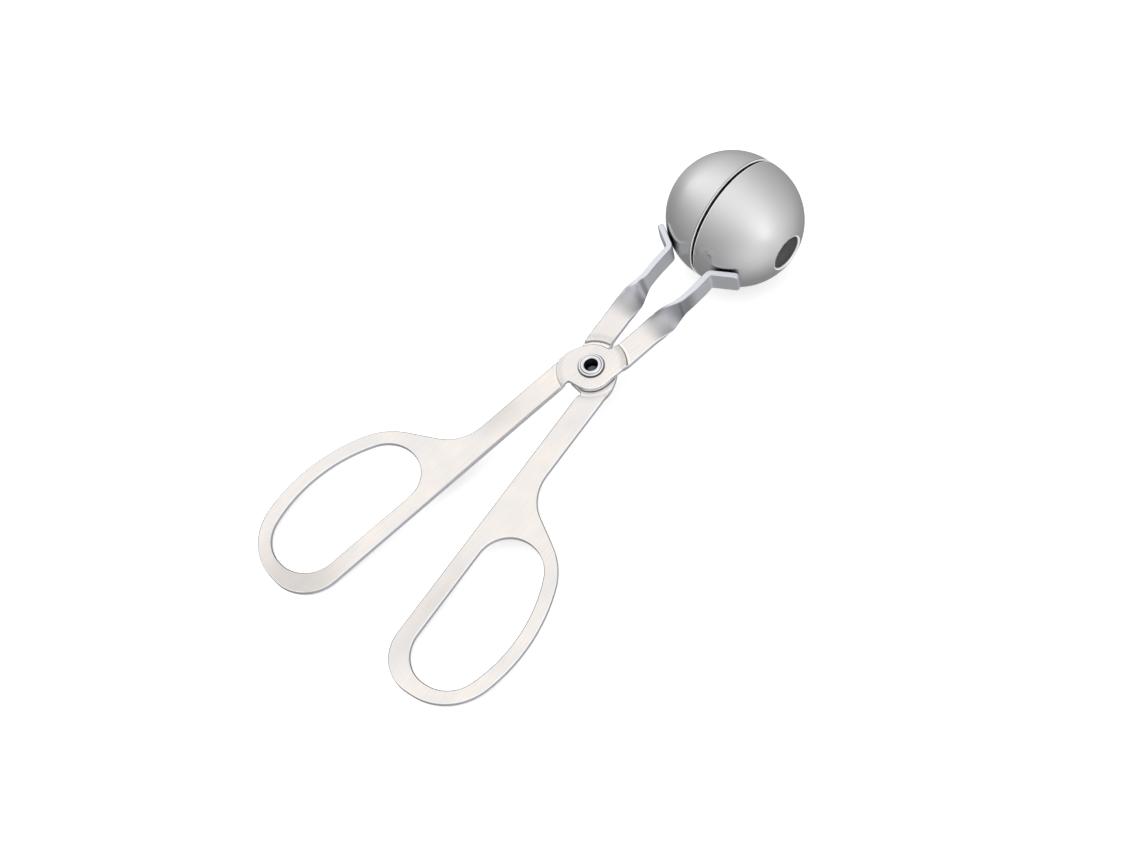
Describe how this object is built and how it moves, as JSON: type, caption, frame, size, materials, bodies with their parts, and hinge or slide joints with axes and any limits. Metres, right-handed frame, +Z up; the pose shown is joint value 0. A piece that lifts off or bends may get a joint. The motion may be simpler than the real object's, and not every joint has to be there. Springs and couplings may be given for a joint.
{
  "type": "meatball maker",
  "caption": "Scissor-action meatball tongs in stainless steel: crossed stamped arms with finger loops press a ball between half-ball cups with drain holes.",
  "frame": {"origin": "centre of the bounding box on the table that the closed tongs lie on", "axes": "+X from the finger loops to the ball, +Y to the front arm's finger loop, +Z up"},
  "size_m": [0.207, 0.0974, 0.0432],
  "materials": {
    "brushed_arm": "fine brushed faces, tumbled edges",
    "polished_cup": "polished",
    "rivet_steel": "bright"
  },
  "bodies": {
    "rear_half": {"rear_arm": "brushed_arm", "rear_cup": "polished_cup", "pivot_rivet": "rivet_steel"},
    "front_half": {"front_arm": "brushed_arm", "front_cup": "polished_cup"}
  },
  "joints": [
    {"name": "pivot", "type": "hinge", "parent": "rear_half", "child": "front_half", "pos_m": [0.01214, 0, 0.01383], "axis": [0.1105, 0, -0.9939], "range_deg": [0, 45]}
  ]
}
